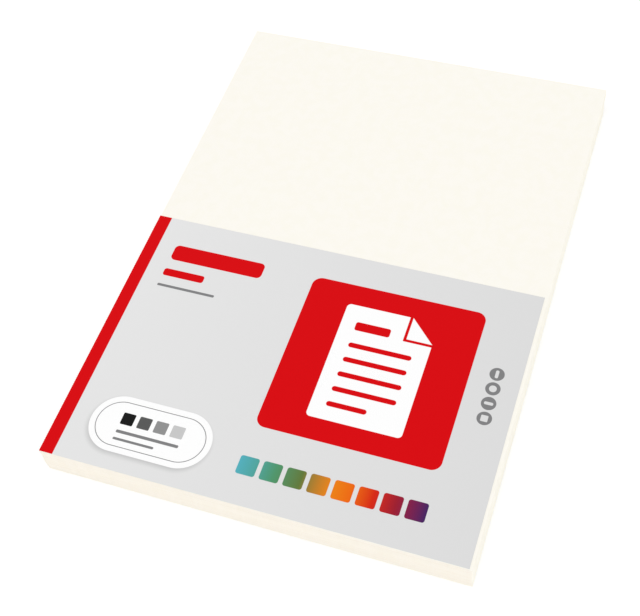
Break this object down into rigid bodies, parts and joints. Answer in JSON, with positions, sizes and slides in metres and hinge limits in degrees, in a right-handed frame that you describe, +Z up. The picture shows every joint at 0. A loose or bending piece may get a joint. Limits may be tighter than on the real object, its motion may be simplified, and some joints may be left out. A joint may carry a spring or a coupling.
{
  "type": "ream of paper",
  "caption": "Tidy flat block of ivory A4 paper sheets with a loose printed half-page cover label lying flush on its front half.",
  "frame": {"origin": "under the middle of the block of sheets, on the surface that the pack lies on", "axes": "+X runs across the sheets (210 mm), +Y along them away from the cover label (297 mm), +Z up through the thickness of the block"},
  "size_m": [0.2105, 0.2976, 0.0188],
  "materials": {
    "ivory_paper": "uncoated, matt, smooth",
    "printed_label": "printed light grey and red, satin"
  },
  "bodies": {
    "root": {"paper_stack": "ivory_paper", "cover_label": "printed_label"}
  },
  "joints": []
}
